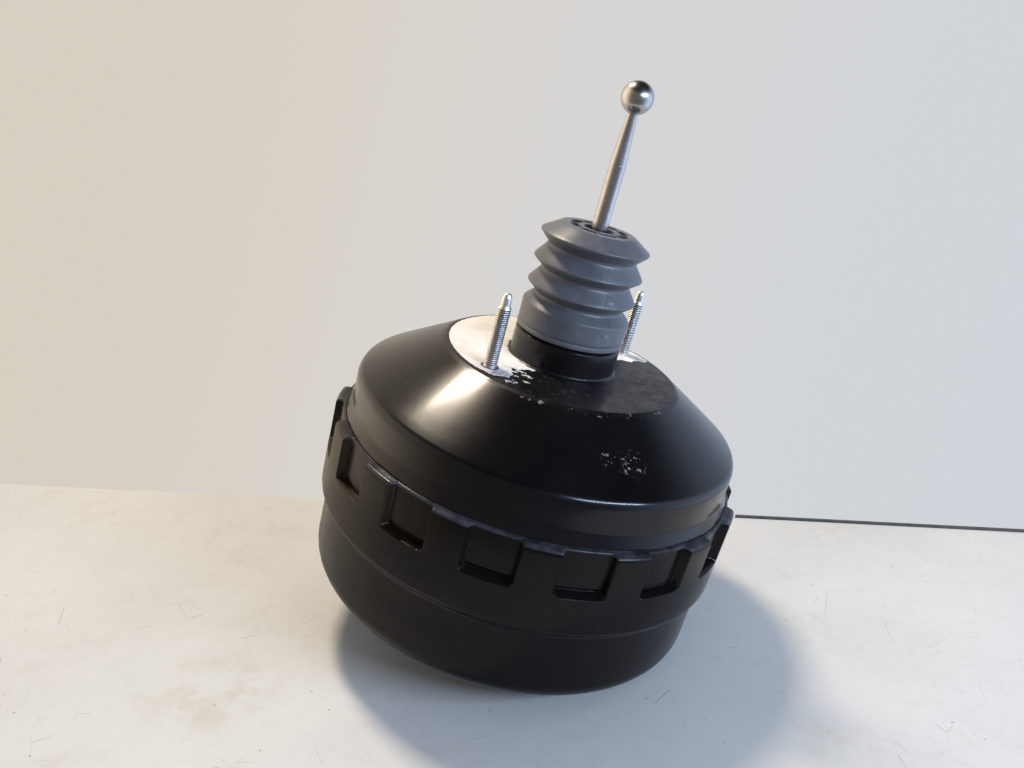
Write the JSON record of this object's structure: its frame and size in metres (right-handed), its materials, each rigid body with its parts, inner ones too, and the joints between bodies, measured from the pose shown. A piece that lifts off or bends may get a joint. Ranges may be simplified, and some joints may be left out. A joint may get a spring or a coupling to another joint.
{
  "type": "brake booster",
  "caption": "Tandem vacuum brake booster: pressed shells locked by lanced pockets, rubber bellows, ball-ended input rod and stud mounting.",
  "frame": {"origin": "centre of the rear mounting face, on the booster's axis", "axes": "+Z along the booster's axis towards the pedal; the master cylinder's studs lie on the Y axis"},
  "size_m": [0.269, 0.269, 0.3664],
  "materials": {
    "black_paint": "satin",
    "bare_steel": "dull",
    "zinc_steel": "zinc plated",
    "bright_steel": "ground",
    "spring_steel": "oiled",
    "aluminium_alloy": "turned",
    "black_rubber": "matt",
    "grey_rubber": "satin",
    "valve_plastic": "moulded",
    "filter_felt": "felt",
    "paper": "torn paper"
  },
  "bodies": {
    "shell": {"front_shell": "black_paint", "rear_shell": "black_paint", "partition_shell": "bare_steel", "rear_reinforcement": "bare_steel", "front_reinforcement": "bare_steel", "rear_studs": "zinc_steel", "front_studs": "zinc_steel", "guide_bush": "valve_plastic", "guide_seal": "black_rubber", "partition_seal": "black_rubber", "rear_diaphragm": "black_rubber", "front_diaphragm": "black_rubber", "main_spring": "spring_steel", "dust_boot": "grey_rubber", "vacuum_grommet": "black_rubber", "check_valve": "valve_plastic", "check_spring": "spring_steel", "paper_gasket": "paper"},
    "piston": {"rear_plate": "bare_steel", "front_plate": "bare_steel", "plate_spacer": "valve_plastic", "plate_retainer": "valve_plastic", "valve_body": "valve_plastic", "reaction_disc": "black_rubber", "output_rod": "zinc_steel", "poppet_valve": "black_rubber", "poppet_retainer": "zinc_steel", "air_filter": "filter_felt", "silencer": "filter_felt", "rod_return_spring": "spring_steel", "poppet_spring": "spring_steel"},
    "plunger": {"valve_plunger": "aluminium_alloy", "stop_key": "zinc_steel"},
    "input_rod": {"input_rod": "bright_steel", "spring_seat": "zinc_steel"},
    "check_disc": {"check_disc": "black_rubber"}
  },
  "joints": [
    {"name": "piston_slide", "type": "slide", "parent": "shell", "child": "piston", "axis": [0, 0, -1], "range_m": [0, 0.032], "stiffness_N_per_m": 4000, "springref_m": -0.035, "deforming": ["dust_boot", "main_spring", "rear_diaphragm", "front_diaphragm"]},
    {"name": "valve_push", "type": "slide", "parent": "piston", "child": "plunger", "axis": [0, 0, -1], "range_m": [0, 0.0025], "stiffness_N_per_m": 8000, "springref_m": -0.0075, "deforming": ["rod_return_spring", "poppet_spring", "poppet_valve"]},
    {"name": "rod_swing", "type": "hinge", "parent": "plunger", "child": "input_rod", "pos_m": [0, 0, 0.004], "axis": [1, 0, 0], "range_deg": [-2.5, 2.5], "stiffness_Nm_per_rad": 8},
    {"name": "check_lift", "type": "slide", "parent": "shell", "child": "check_disc", "axis": [0, 0, -1], "range_m": [0, 0.0012], "stiffness_N_per_m": 100, "springref_m": -0.002, "deforming": ["check_spring"]}
  ]
}
